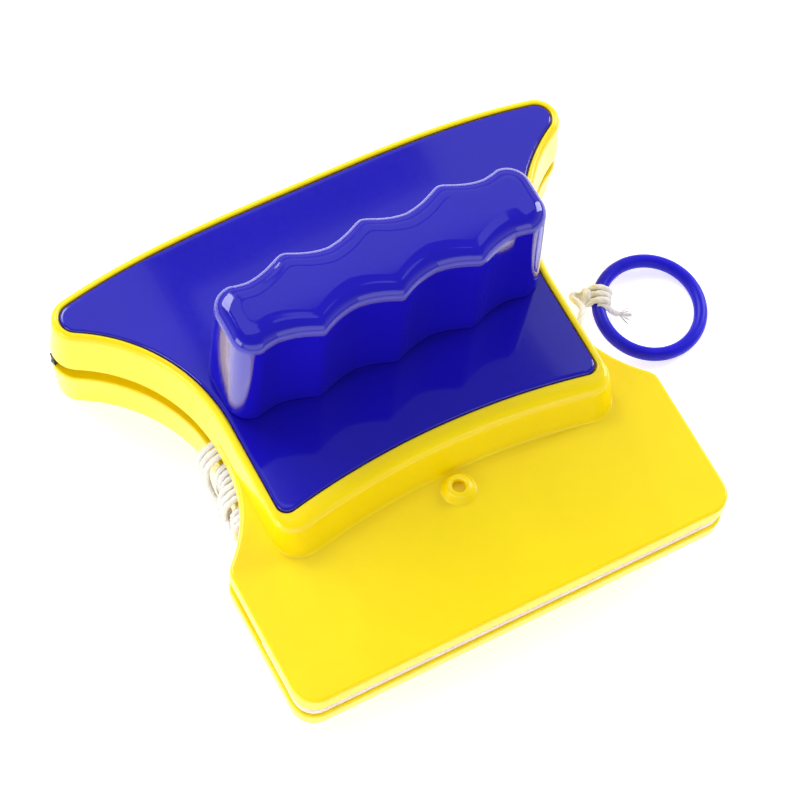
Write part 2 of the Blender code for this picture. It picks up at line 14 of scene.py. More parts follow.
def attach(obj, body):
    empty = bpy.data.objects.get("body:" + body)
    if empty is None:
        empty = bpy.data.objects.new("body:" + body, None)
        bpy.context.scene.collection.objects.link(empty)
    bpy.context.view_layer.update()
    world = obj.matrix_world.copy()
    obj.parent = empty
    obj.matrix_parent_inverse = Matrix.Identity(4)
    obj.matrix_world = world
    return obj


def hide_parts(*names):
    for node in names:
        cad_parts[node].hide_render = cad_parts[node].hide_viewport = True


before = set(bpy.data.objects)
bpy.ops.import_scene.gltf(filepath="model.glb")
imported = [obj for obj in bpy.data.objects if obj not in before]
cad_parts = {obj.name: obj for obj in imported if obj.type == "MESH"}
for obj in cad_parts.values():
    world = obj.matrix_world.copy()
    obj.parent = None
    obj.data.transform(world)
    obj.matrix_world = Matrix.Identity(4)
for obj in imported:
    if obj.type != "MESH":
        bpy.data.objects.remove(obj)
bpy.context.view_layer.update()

MM = 0.001
FIT = 0.3

# Halves, as in the CAD model
TRAY_H = 16.0
STORE_GAP = 5.0
FLANGE_H = 5.5
FLOOR_T = 1.5
COVER_T = 1.9
SEAT_Z = TRAY_H - COVER_T - FIT
INNER = Matrix.Translation((0.0, 0.0, (TRAY_H + STORE_GAP) * MM))
OUTER = Matrix.Translation((0.0, 0.0, TRAY_H * MM)) @ Matrix.Rotation(pi, 4, "Y")

# Plan
COVER_X = 46.0
FRONT_Y = -15.7
FRONT_R = 207.7
WAIST_Y = 8.2
WAIST_R = 46.7
TIP_X = 67.6
TIP_R = 4.5
WIDE_Y = 61.8
WIDE_POWER = 3.2
TIP_TOP_DEG = 78.0
FRONT_CORNER_R = 3.0
FRONT_CORNER_GROWTH = 0.45   # added to that radius for each millimetre outside the cover
WALL_OUT = 3.0
WALL_DRAFT = 0.07
FLANGE_X = 62.3
FLANGE_Y = -64.8
FLANGE_CORNER_R = 6.5
FLANGE_SHOULDER_R = 5.0
FLANGE_NECK_R = 36.6
FLANGE_NECK_Y = 5.15
NECK_FRONT_Y = -23.7

# Points along each stretch of half an outline
N_FRONT, N_CORNER, N_WAIST, N_TIP, N_WIDE = 20, 8, 24, 12, 28
N_SHOULDER, N_NECK = 6, 12
N_SIDE = 3 + N_SHOULDER + 1 + N_NECK + 1

# Cord hole
BOSS_Y = -29.6
HOLE_R = 1.75
BLIND_HOLE_Z = 6.4

# Handle
GRIP_Y = 17.1
GRIP_LENGTH = 89.4
GRIP_H = 38.0
GRIP_RIDGE = 12.2
GRIP_GROOVE = 2.7
GRIP_PITCH = 21.9
GRIP_DRAFT = 1.1
GRIP_WALL = 2.5
GRIP_CORNER_R = 6.2
GRIP_SCREWS = (-26.0, 26.0)

# Glass side
PROUD = STORE_GAP / 2 - FIT / 2
FRONT_PAD = (-60.4, 60.4, -62.9, -37.0)
FRONT_PAD_CORNER_R = 4.6
FRONT_PAD_BRIM = 1.1
FRONT_PAD_SINK = 3.2
REAR_PAD_Y = 16.5
REAR_PAD_INSET = 6.0
BLADE_Y = 61.3
BLADE_DROP = 8.1
BLADE_X = 75.0
BLADE_T = 1.8
BLADE_LIP_T = 1.0
BLADE_SINK = 3.2
BLADE_ROOT_X = 71.0
POST_X, POST_Y, POST_R = 36.5, 10.8, 3.0
MAGNET_T = 6.0
PILOT_R = 1.5

# Cord and ring
CORD_D = 1.8
CORD_PITCH = 6.4             # length of one full twist of its three strands
STRAND_RELIEF = 0.2          # how far the strands stand out, as a share of the radius
YARN_D = 0.3
YARN_LENGTH = 4.6
YARN_COUNT = 17
RING_R = 14.27
RING_TUBE_R = 1.88
RING_AT = (79.4, 3.1)
KNOT_DEG = 146.0
KNOT_LIFT = 2.3
LEAD_ROUTE = (
    (0.0, -29.6, 7.6), (0.0, -29.6, 11.5), (0.0, -29.6, 15.2), (0.0, -28.3, 18.3),
    (-0.2, -25.2, 19.4), (-0.8, -21.5, 18.9), (-2.0, -17.5, 18.2), (-4.0, -13.2, 17.7),
)
FREE_END_ROUTE = (
    (56.8, 4.2, 18.4), (58.2, 6.2, 15.6), (59.4, 9.4, 11.6), (60.3, 12.4, 7.6),
    (61.2, 14.6, 4.9), (62.5, 15.3, 3.9), (63.9, 14.2, 3.7),
)


# Camera -----------------------------------------------------------------------------------

def set_camera():
    """From the front left, looking down at the cleaner."""
    data = bpy.data.cameras.new("camera")
    data.lens = 126.0
    data.sensor_width = 36.0
    data.clip_start = 0.01
    cam = bpy.data.objects.new("camera", data)
    right = Vector((0.8810, -0.4695, 0.0590))
    down = Vector((-0.4009, -0.8068, -0.4339))
    ahead = Vector((0.2514, 0.3587, -0.8990))
    turn = Matrix((right, -down, -ahead)).transposed().to_4x4()
    cam.matrix_world = Matrix.Translation((-0.1828, -0.2594, 0.675)) @ turn
    bpy.context.scene.collection.objects.link(cam)
    bpy.context.scene.camera = cam


# Materials --------------------------------------------------------------------------------

def linear(code):
    """sRGB hex to linear RGBA."""
    parts = [int(code[i:i + 2], 16) / 255 for i in (1, 3, 5)]
    rgb = [c / 12.92 if c <= 0.04045 else ((c + 0.055) / 1.055) ** 2.4 for c in parts]
    return (*rgb, 1.0)


def add(tree, kind, settings, inputs):
    """Add a node. An input is a value, or another node's output to link. The settings may hold
    the stops of a colour ramp, as (position, colour) pairs."""
    node = tree.nodes.new(kind)
    for key, value in settings.items():
        if key != "stops":
            setattr(node, key, value)
            continue
        elements = node.color_ramp.elements
        while len(elements) < len(value):
            elements.new(0.5)
        for element, (position, colour) in zip(elements, value):
            element.position = position
            element.color = colour
    for key, value in inputs.items():
        if isinstance(value, bpy.types.NodeSocket):
            tree.links.new(value, node.inputs[key])
        else:
            node.inputs[key].default_value = value
    return node


def surface(name, inputs):
    """A new material with a Principled shader and its constant settings."""
    made = bpy.data.materials.new(name)
    made.use_nodes = True
    shader = made.node_tree.nodes["Principled BSDF"]
    for key, value in inputs.items():
        shader.inputs[key].default_value = value
    return made, made.node_tree, shader


def moulded_yellow_abs():
    """Glossy ABS straight from a polished mould. Thin walls glow a little, and the flow of
    the melt leaves a faint swirl in the colour, about 26 mm across, and a very slight waviness in
    the gloss, about 18 mm across. The scuffs are 1.1 mm patches of finer hairlines."""
    made, tree, shader = surface("moulded_yellow_abs", {
        "Roughness": 0.2, "IOR": 1.53, "Subsurface Weight": 0.12,
        "Subsurface Radius": (0.006, 0.004, 0.0008), "Subsurface Scale": 0.5,
    })
    spot = add(tree, "ShaderNodeTexCoord", {}, {}).outputs["Object"]
    flow = add(tree, "ShaderNodeTexNoise", {},
               {"Vector": spot, "Scale": 38.0, "Detail": 3.0, "Distortion": 1.2}).outputs["Fac"]
    colour = add(tree, "ShaderNodeValToRGB",
                 {"stops": ((0.3, linear("#fbde02")), (0.7, linear("#ffe304")))},
                 {"Fac": flow}).outputs["Color"]
    scuff = add(tree, "ShaderNodeTexNoise", {},
                {"Vector": spot, "Scale": 900.0, "Detail": 4.0}).outputs["Fac"]
    gloss = add(tree, "ShaderNodeMapRange", {},
                {"Value": scuff, "From Min": 0.3, "From Max": 0.75, "To Min": 0.15, "To Max": 0.26})
    sink = add(tree, "ShaderNodeTexNoise", {}, {"Vector": spot, "Scale": 55.0, "Detail": 1.0})
    wave = add(tree, "ShaderNodeBump", {},
               {"Height": sink.outputs["Fac"], "Strength": 0.12, "Distance": 0.0005})
    tree.links.new(colour, shader.inputs["Base Color"])
    tree.links.new(gloss.outputs["Result"], shader.inputs["Roughness"])
    tree.links.new(wave.outputs["Normal"], shader.inputs["Normal"])
    return made


def polished_blue_abs():
    """High-gloss ABS, almost a mirror, with the hair-fine scuffs that wiping leaves, drawn
    0.7 mm wide to show at all, and sink marks about 24 mm across."""
    made, tree, shader = surface("polished_blue_abs", {
        "Roughness": 0.07, "IOR": 1.54, "Coat Weight": 0.25, "Coat Roughness": 0.03,
    })
    spot = add(tree, "ShaderNodeTexCoord", {}, {}).outputs["Object"]
    flow = add(tree, "ShaderNodeTexNoise", {},
               {"Vector": spot, "Scale": 30.0, "Detail": 2.0}).outputs["Fac"]
    colour = add(tree, "ShaderNodeValToRGB",
                 {"stops": ((0.3, linear("#140bac")), (0.7, linear("#180eb4")))},
                 {"Fac": flow}).outputs["Color"]
    scuff = add(tree, "ShaderNodeTexNoise", {},
                {"Vector": spot, "Scale": 1400.0, "Detail": 5.0}).outputs["Fac"]
    gloss = add(tree, "ShaderNodeMapRange", {},
                {"Value": scuff, "From Min": 0.35, "From Max": 0.7, "To Min": 0.045, "To Max": 0.1})
    sink = add(tree, "ShaderNodeTexNoise", {}, {"Vector": spot, "Scale": 42.0, "Detail": 1.0})
    wave = add(tree, "ShaderNodeBump", {},
               {"Height": sink.outputs["Fac"], "Strength": 0.1, "Distance": 0.0004})
    tree.links.new(colour, shader.inputs["Base Color"])
    tree.links.new(gloss.outputs["Result"], shader.inputs["Roughness"])
    tree.links.new(wave.outputs["Normal"], shader.inputs["Normal"])
    return made


def cast_ring_plastic():
    """The ring's softer plastic: lets some light through, so its edge shows a brighter blue.
    Its skin is uneven over about 4 mm."""
    made, tree, shader = surface("cast_ring_plastic", {
        "Roughness": 0.34, "IOR": 1.5, "Specular IOR Level": 0.25, "Subsurface Weight": 0.15,
        "Subsurface Radius": (0.001, 0.001, 0.006), "Subsurface Scale": 0.4,
    })
    spot = add(tree, "ShaderNodeTexCoord", {}, {}).outputs["Object"]
    cloud = add(tree, "ShaderNodeTexNoise", {},
                {"Vector": spot, "Scale": 260.0, "Detail": 3.0}).outputs["Fac"]
    colour = add(tree, "ShaderNodeValToRGB",
                 {"stops": ((0.3, linear("#140cc8")), (0.7, linear("#1a12d4")))},
                 {"Fac": cloud}).outputs["Color"]
    wave = add(tree, "ShaderNodeBump", {}, {"Height": cloud, "Strength": 0.1, "Distance": 0.0002})
    tree.links.new(colour, shader.inputs["Base Color"])
    tree.links.new(wave.outputs["Normal"], shader.inputs["Normal"])
    return made


def twisted_cotton():
    """Bleached cotton cord, matt and a little fluffy. Fine fibres run along each strand, so the
    pattern follows the piece's own UV map: 26 bundles of fibres round the cord, each 0.2 mm wide,
    which is coarser than real fibres so that they show at all."""
    made, tree, shader = surface("twisted_cotton", {
        "Roughness": 0.92, "Sheen Weight": 0.35, "Sheen Roughness": 0.6,
        "Subsurface Weight": 0.2, "Subsurface Radius": (0.001, 0.001, 0.001),
        "Subsurface Scale": 0.5,
    })
    lie = add(tree, "ShaderNodeUVMap", {"uv_map": "along"}, {}).outputs["UV"]
    stretched = add(tree, "ShaderNodeMapping", {}, {"Vector": lie, "Scale": (900.0, 26.0, 1.0)})
    fibre = add(tree, "ShaderNodeTexNoise", {},
                {"Vector": stretched.outputs["Vector"], "Scale": 1.0, "Detail": 4.0}).outputs["Fac"]
    colour = add(tree, "ShaderNodeValToRGB",
                 {"stops": ((0.25, linear("#e4e1dc")), (0.5, linear("#f2f0ec")),
                            (0.8, linear("#faf8f4")))},
                 {"Fac": fibre}).outputs["Color"]
    fluff = add(tree, "ShaderNodeBump", {},
                {"Height": fibre, "Strength": 0.6, "Distance": 0.00025})
    tree.links.new(colour, shader.inputs["Base Color"])
    tree.links.new(fluff.outputs["Normal"], shader.inputs["Normal"])
    return made


def looped_pile_cloth():
    """Short looped pile glued to foam: soft and matt. Its colour is white cloth made cream-pink and a
    little darker by painted shade and painted yellow bounce light, as the pad looks in the gap
    between the halves. The loops are 0.9 mm apart, and use has dulled it in patches about 11 mm
    across."""
    made, tree, shader = surface("looped_pile_cloth", {
        "Roughness": 0.95, "Sheen Weight": 0.4, "Sheen Roughness": 0.5,
    })
    spot = add(tree, "ShaderNodeTexCoord", {}, {}).outputs["Object"]
    loops = add(tree, "ShaderNodeTexVoronoi", {"feature": "SMOOTH_F1"},
                {"Vector": spot, "Scale": 1100.0, "Smoothness": 0.6}).outputs["Distance"]
    worn = add(tree, "ShaderNodeTexNoise", {},
               {"Vector": spot, "Scale": 90.0, "Detail": 4.0}).outputs["Fac"]
    # Both stops are cream-pink: painted shade and painted yellow bounce light over white cloth. The
    # noise between them is wear.
    colour = add(tree, "ShaderNodeValToRGB",
                 {"stops": ((0.25, linear("#ecdac4")), (0.75, linear("#f3e6d6")))},
                 {"Fac": worn}).outputs["Color"]
    pile = add(tree, "ShaderNodeBump", {}, {"Height": loops, "Strength": 0.8, "Distance": 0.0004})
    tree.links.new(colour, shader.inputs["Base Color"])
    tree.links.new(pile.outputs["Normal"], shader.inputs["Normal"])
    return made


def extruded_rubber():
    """Black wiper rubber: satin, with the faint bloom and the lines, 0.4 mm apart, that
    extrusion leaves."""
    made, tree, shader = surface("extruded_rubber", {"Roughness": 0.5, "IOR": 1.52})
    spot = add(tree, "ShaderNodeTexCoord", {}, {}).outputs["Object"]
    bloom = add(tree, "ShaderNodeTexNoise", {},
                {"Vector": spot, "Scale": 160.0, "Detail": 5.0}).outputs["Fac"]
    colour = add(tree, "ShaderNodeValToRGB",
                 {"stops": ((0.3, linear("#0e0e0f")), (0.8, linear("#222224")))},
                 {"Fac": bloom}).outputs["Color"]
    gloss = add(tree, "ShaderNodeMapRange", {}, {"Value": bloom, "To Min": 0.4, "To Max": 0.65})
    drawn = add(tree, "ShaderNodeMapping", {}, {"Vector": spot, "Scale": (20.0, 20.0, 2500.0)})
    lines = add(tree, "ShaderNodeTexNoise", {}, {"Vector": drawn.outputs["Vector"], "Scale": 1.0})
    bump = add(tree, "ShaderNodeBump", {},
               {"Height": lines.outputs["Fac"], "Strength": 0.25, "Distance": 0.0002})
    tree.links.new(colour, shader.inputs["Base Color"])
    tree.links.new(gloss.outputs["Result"], shader.inputs["Roughness"])
    tree.links.new(bump.outputs["Normal"], shader.inputs["Normal"])
    return made


def bare_metal(name, dark, light, rough, grain):
    """A metal surface whose colour and polish vary with one noise; grain is in 1/m."""
    made, tree, shader = surface(name, {"Metallic": 1.0, "Roughness": rough})
    spot = add(tree, "ShaderNodeTexCoord", {}, {}).outputs["Object"]
    drawn = add(tree, "ShaderNodeMapping", {}, {"Vector": spot, "Scale": grain})
    cloud = add(tree, "ShaderNodeTexNoise", {},
                {"Vector": drawn.outputs["Vector"], "Scale": 1.0, "Detail": 4.0}).outputs["Fac"]
    colour = add(tree, "ShaderNodeValToRGB",
                 {"stops": ((0.3, linear(dark)), (0.7, linear(light)))},
                 {"Fac": cloud}).outputs["Color"]
    gloss = add(tree, "ShaderNodeMapRange", {},
                {"Value": cloud, "To Min": rough * 0.7, "To Max": rough * 1.3})
    tree.links.new(colour, shader.inputs["Base Color"])
    tree.links.new(gloss.outputs["Result"], shader.inputs["Roughness"])
    return made


# Shapes -----------------------------------------------------------------------------------

def arc(cx, cy, r, start, end, n):
    """Points along an arc, from one angle to the other in degrees."""
    step = radians(end - start) / n
    return [(cx + r * cos(radians(start) + i * step), cy + r * sin(radians(start) + i * step))
            for i in range(n + 1)]


def wall_out(z):
    """How far the drafted tray wall stands outside the cover edge at this height."""
    return WALL_OUT - WALL_DRAFT * z


def front_and_side(side, front):
    """Front edge, corner and straight side of an outline that follows the cover."""
    cy = FRONT_Y - FRONT_R
    r = FRONT_R - front
    corner = FRONT_CORNER_R + FRONT_CORNER_GROWTH * max(front, 0.0)
    kx = COVER_X + side - corner
    ky = cy + sqrt((r + corner) ** 2 - kx ** 2)
    lean = degrees(asin(kx / (r + corner)))
    points = arc(0, cy, r, 90, 90 - lean, N_FRONT)
    points += arc(kx, ky, corner, 270 - lean, 360, N_CORNER)[1:]
    points += [(COVER_X + side, ky + (WAIST_Y - ky) * share) for share in SIDE_SHARES]
    return points


def side_shares():
    """How far along the straight side each of its points lies, spread as on the flange's side,
    so that the faces between the two do not slant."""
    least_step = 0.012
    inset = 0.7
    ys = [y for x, y in flange_front(inset)[-N_SIDE:]]
    return [max(least_step * (i + 1), (y - NECK_FRONT_Y) / (WAIST_Y - NECK_FRONT_Y))
            for i, y in enumerate(ys)]


def waist_to_wide_end(side):
    """The concave waist, the rounded tip, and the wide end up to the middle."""
    wx = COVER_X + WAIST_R
    tip_y = WAIST_Y + sqrt((WAIST_R + TIP_R) ** 2 - (wx - TIP_X) ** 2)
    turn = degrees(atan2(tip_y - WAIST_Y, TIP_X - wx))
    points = arc(wx, WAIST_Y, WAIST_R - side, 180, turn, N_WAIST)[1:]
    points += arc(TIP_X, tip_y, TIP_R + side, turn - 180, TIP_TOP_DEG, N_TIP)[1:]
    end_x, end_y = points[-1]
    top = WIDE_Y + side
    for i in range(1, N_WIDE + 1):
        x = end_x * (1 - i / N_WIDE)
        points.append((x, top - (top - end_y) * (x / end_x) ** WIDE_POWER))
    return points


def flange_front(inset):
    """Front edge, corner and shouldered side of the flange, up to the waist, where it runs
    into the foot of the wall."""
    x = FLANGE_X - inset
    y = FLANGE_Y + inset
    corner = FLANGE_CORNER_R - inset
    points = [((x - corner) * i / N_FRONT, y) for i in range(N_FRONT + 1)]
    points += arc(x - corner, y + corner, corner, 270, 360, N_CORNER)[1:]
    shoulder = FLANGE_SHOULDER_R - inset
    neck = FLANGE_NECK_R + inset
    neck_x = COVER_X + WALL_OUT - inset + neck
    reach = neck_x - x + shoulder
    turn = degrees(acos(reach / (neck + shoulder)))
    sy = FLANGE_NECK_Y - sqrt((neck + shoulder) ** 2 - reach ** 2)
    points += [(x, y + corner + (sy - y - corner) * i / 4) for i in (1, 2, 3)]
    points += arc(x - shoulder, sy, shoulder, 0, turn, N_SHOULDER)
    points += arc(neck_x, FLANGE_NECK_Y, neck, 180 + turn, 180, N_NECK)[1:]
    points.append((COVER_X + WALL_OUT - inset, WAIST_Y))
    foot = COVER_X + wall_out(FLANGE_H) + 0.06 + 0.12 * (1.4 - inset)
    return [(max(px, foot) if py > sy else px, py) for px, py in points]


SIDE_SHARES = side_shares()


def whole(half, z, rear=None):
    """A closed ring from half an outline and its mirror image. Behind the side, its height may be
    another one."""
    count = N_FRONT + N_CORNER + N_SIDE + 1
    heights = [z] * count + [z if rear is None else rear] * (len(half) - count)
    right = [(x, y, h) for (x, y), h in zip(half, heights)]
    return right + [(-x, y, h) for x, y, h in reversed(right[1:-1])]


def tray_ring(side, front, z):
    """A ring that follows the cover, this far outside it at the sides and the front."""
    return whole(front_and_side(side, front) + waist_to_wide_end(side), z)


def flange_ring(inset, z, rear=None, tuck=0.0):
    """A ring along the flange's edge and the foot of the wall behind it."""
    rear_side = wall_out(z if rear is None else rear) - tuck
    return whole(flange_front(inset) + waist_to_wide_end(rear_side), z, rear)


def skin(rings):
    """A mesh over rings of equal length, closed at both ends."""
    bm = bmesh.new()
    loops = [[bm.verts.new(Vector(p) * MM) for p in ring] for ring in rings]
    for low, high in zip(loops, loops[1:]):
        for i in range(len(low)):
            j = (i + 1) % len(low)
            bm.faces.new((low[i], low[j], high[j], high[i]))
    bm.faces.new(reversed(loops[0]))
    bm.faces.new(loops[-1])
    return bm


def turned(profile, sides, at=(0.0, 0.0)):
    """A round shape from its (radius, height) profile."""
    rings = [[(at[0] + r * cos(2 * pi * i / sides), at[1] + r * sin(2 * pi * i / sides), z)
              for i in range(sides)] for r, z in profile]
    return skin(rings)


def prism(outline, low, high):
    """An outline pulled straight up."""
    return skin([[(x, y, low) for x, y in outline], [(x, y, high) for x, y in outline]])


def rounded_box(x0, x1, y0, y1, r, n):
    """The outline of a rectangle with round corners."""
    corners = ((x1 - r, y0 + r, 270), (x1 - r, y1 - r, 0),
               (x0 + r, y1 - r, 90), (x0 + r, y0 + r, 180))
    return [p for cx, cy, start in corners for p in arc(cx, cy, r, start, start + 90, n)]


def side_counts(outline, step):
    """How many parts each side of a closed outline needs for points about one step apart."""
    return [max(1, round(hypot(x1 - x0, y1 - y0) / step))
            for (x0, y0), (x1, y1) in zip(outline, outline[1:] + outline[:1])]


def divided(outline, counts):
    """The same outline with each side cut into this many parts."""
    out = []
    for (x0, y0), (x1, y1), parts in zip(outline, outline[1:] + outline[:1], counts):
        out += [(x0 + (x1 - x0) * i / parts, y0 + (y1 - y0) * i / parts) for i in range(parts)]
    return out


def make(name, bm, material, place=None, smooth=35.0):
    """An object at the origin from a mesh, with its place in the mesh."""
    if place is not None:
        bmesh.ops.transform(bm, matrix=place, verts=bm.verts)
    mesh = bpy.data.meshes.new(name)
    bm.to_mesh(mesh)
    bm.free()
    mesh.shade_smooth()
    mesh.set_sharp_from_angle(angle=radians(smooth))
    obj = bpy.data.objects.new(name, mesh)
    bpy.context.scene.collection.objects.link(obj)
    if material:
        mesh.materials.append(material)
    return obj


def combine(target, operation, bm):
    """Join a shape to the target or cut it out, once and for all."""
    tool = make("tool", bm, None)
    change = target.modifiers.new("combine", "BOOLEAN")
    change.operation = operation
    change.object = tool
    settle(target)
    bpy.data.objects.remove(tool)


def even_gloss(obj, sharp=35.0):
    """Let the large flat faces decide the shading at their edges, so gloss runs true on them."""
    obj.data.set_sharp_from_angle(angle=radians(sharp))
    change = obj.modifiers.new("even_gloss", "WEIGHTED_NORMAL")
    change.keep_sharp = True
    change.weight = 50
    settle(obj)


def settle(obj):
    """Replace an object's mesh with what its modifiers make of it."""
    graph = bpy.context.evaluated_depsgraph_get()
    graph.update()
    mesh = bpy.data.meshes.new_from_object(obj.evaluated_get(graph), depsgraph=graph)
    obj.modifiers.clear()
    obj.data = mesh


def merged(meshes):
    """Several loose shapes as one mesh."""
    bm = bmesh.new()
    for part in meshes:
        mesh = bpy.data.meshes.new("piece")
        part.to_mesh(mesh)
        part.free()
        bm.from_mesh(mesh)
        bpy.data.meshes.remove(mesh)
    return bm


def blade_line(x):
    """Where the middle of the blade runs: it follows the bowed wide end."""
    return BLADE_Y - BLADE_DROP * (abs(x) / BLADE_X) ** 3


def blade_strip(reach, steps, section, end=None, end_section=None):
    """A strip across the wide end, from (offset across the strip, z) corners, anticlockwise."""
    stations = [(-reach + 2 * reach * i / steps, section) for i in range(steps + 1)]
    if end:
        tail = [(reach + 0.1, end_section), (end, end_section)]
        stations = [(-x, shape) for x, shape in reversed(tail)] + stations + tail
    rings = []
    for x, shape in stations:
        slope = blade_line(x + 0.5) - blade_line(x - 0.5)
        length = hypot(1.0, slope)
        across = (-slope / length, 1 / length)
        rings.append([(x + u * across[0], blade_line(x) + u * across[1], z) for u, z in shape])
    return skin(rings)


# Tray -------------------------------------------------------------------------------------

# Front slope of the housing: how far in front of the cover, and how high
SLOPE = (
    (10.4, 5.5), (9.3, 5.5), (8.95, 5.56), (8.65, 5.75), (8.4, 6.15), (8.1, 7.0), (7.6, 8.4),
    (6.6, 10.6), (5.9, 12.7), (5.4, 14.0), (4.95, 14.8), (4.35, 15.4), (3.6, 15.77),
    (2.8, 15.94), (1.9, 16.0), (1.0, 16.0), (0.3, 15.98),
)


def rim_round(z):
    """How far the rounded rim draws in from the wall at this height."""
    radius = 1.5
    rise = max(0.0, z - (TRAY_H - radius))
    return radius - sqrt(max(0.0, radius ** 2 - rise ** 2))


def tray(name, place, yellow, cord_hole):
    """Housing and flange in one moulding, with posts, cord boss, pad recess and blade groove."""
    rings = []
    foot_draw, foot_h = 0.7, 0.8
    for turn in (0, 30, 60):
        draw = foot_draw * (1 - sin(radians(turn)))
        rings.append(flange_ring(draw, foot_h * (1 - cos(radians(turn))), None, draw))
    rings.append(flange_ring(0.0, foot_h))
    rings.append(flange_ring(0.1, 2.4))
    edge = 0.9
    for turn in (0, 15, 30, 45, 60, 75, 90):
        inset = 0.15 + edge * (1 - cos(radians(turn)))
        rise = FLANGE_H - edge + edge * sin(radians(turn))
        rings.append(flange_ring(inset, rise, 4.6 + 0.9 * turn / 90))
    rings.append(flange_ring(1.4, FLANGE_H, 5.55))
    for front, z in SLOPE:
        rear = max(z, 5.6 + 0.5 * (10.4 - front)) if z < 8 else z
        side_z = rear if z < 8 else z
        side = min(wall_out(side_z) - rim_round(z), max(wall_out(z) - rim_round(z), 0.3))
        if z > 15.9:
            side = 0.25 + 0.2 * front
        foot_side = wall_out(z) + 0.02 * max(0.0, front - 9.0) if z < 8 else side
        foot = front_and_side(foot_side, front)
        rings.append(whole(foot + waist_to_wide_end(side), z, rear))
    ledge = 1.2
    rings += [
        tray_ring(0.0, 0.0, TRAY_H - 0.25),
        tray_ring(0.0, 0.0, SEAT_Z),
        tray_ring(-ledge, -ledge, SEAT_Z),
        tray_ring(-ledge, -ledge, FLOOR_T),
    ]
    body = make(name, skin(rings), yellow)
    spots = [(sx * POST_X, GRIP_Y + sy * POST_Y) for sx in (-1, 1) for sy in (-1, 1)]
    posts = [turned(((POST_R, FLOOR_T - 0.6), (POST_R, FLOOR_T + FIT + MAGNET_T)), 24, at)
             for at in spots]
    boss = turned(((4.8, 4.6), (4.8, 5.5), (4.55, 5.56), (4.35, 5.75), (4.2, 6.1), (3.45, 7.6),
                   (3.25, 7.95), (2.95, 8.18), (2.6, 8.28), (2.2, 8.3)), 48, (0.0, BOSS_Y))
    combine(body, "UNION", merged(posts + [boss]))
    pilots = [turned(((PILOT_R, FLOOR_T + 1.2), (PILOT_R, SEAT_Z)), 16, at) for at in spots]
    bottom = -1.0 if cord_hole else BLIND_HOLE_Z
    hole = turned(((HOLE_R, bottom), (HOLE_R, 7.6), (1.82, 7.95), (2.02, 8.2), (2.4, 8.5)),
                  40, (0.0, BOSS_Y))
    recess = prism(front_pad_outline(0.5), -1.0, FRONT_PAD_SINK)
    half = BLADE_T / 2 + FIT
    groove = blade_strip(BLADE_ROOT_X + 0.5, 80, ((-half, -1.0), (half, -1.0),
                                                  (half, BLADE_SINK), (-half, BLADE_SINK)))
    combine(body, "DIFFERENCE", merged(pilots + [hole, recess, groove]))
    body.data.transform(place)
    even_gloss(body)
    return body


def cover(name, place, blue, screwed):
    """The plate let into the top of the tray, with a small gap all round."""
    edge = -0.35
    edge_r = 0.75
    low = SEAT_Z + FIT
    rings = [tray_ring(edge - 0.2, edge - 0.2, low), tray_ring(edge, edge, low + 0.2)]
    for turn in (0, 22.5, 45, 67.5, 90):
        draw = edge - edge_r * (1 - cos(radians(turn)))
        rings.append(tray_ring(draw, draw, TRAY_H - edge_r + edge_r * sin(radians(turn))))
    rings.append(tray_ring(edge - 1.2, edge - 1.2, TRAY_H))
    plate = make(name, skin(rings), blue)
    if screwed:
        holes = [turned(((PILOT_R, low - 1), (PILOT_R, TRAY_H + 1)), 20, (x, GRIP_Y))
                 for x in GRIP_SCREWS]
        combine(plate, "DIFFERENCE", merged(holes))
    plate.data.transform(place)
    even_gloss(plate)
    return plate


# Grip -------------------------------------------------------------------------------------

def grip_half_width(x, shrink, deepen):
    """Half width of the grip: shallow round grooves that meet in soft ridges."""
    across = abs(2 * ((x / GRIP_PITCH) % 1.0) - 1)
    from_ridge = 1 - across
    softened = sqrt(from_ridge ** 2 + 0.0144) - 0.12
    return GRIP_RIDGE - (GRIP_GROOVE + deepen) * (1 - (1 - softened) ** 2) - shrink


def grip_ring(z, shrink, lean, deepen=0.0):
    """An outline of the grip: drawn in by shrink all round, and by lean at both ends."""
    end = GRIP_LENGTH / 2 - shrink - lean
    corner = GRIP_CORNER_R - 0.68 * shrink
    straight = end - corner
    flat = grip_half_width(straight, shrink, deepen) - corner
    steps = 176
    xs = [-straight + 2 * straight * i / steps for i in range(steps + 1)]
    front = [(x, GRIP_Y - grip_half_width(x, shrink, deepen), z) for x in xs]
    right = [(x, y, z) for x, y in arc(straight, GRIP_Y - flat, corner, 270, 360, 12)[1:]]
    right += [(x, y, z) for x, y in arc(straight, GRIP_Y + flat, corner, 0, 90, 12)[:-1]]
    back = [(x, 2 * GRIP_Y - y, z) for x, y, z in reversed(front)]
    left = [(-x, 2 * GRIP_Y - y, z) for x, y, z in right]
    return front + right + back + left


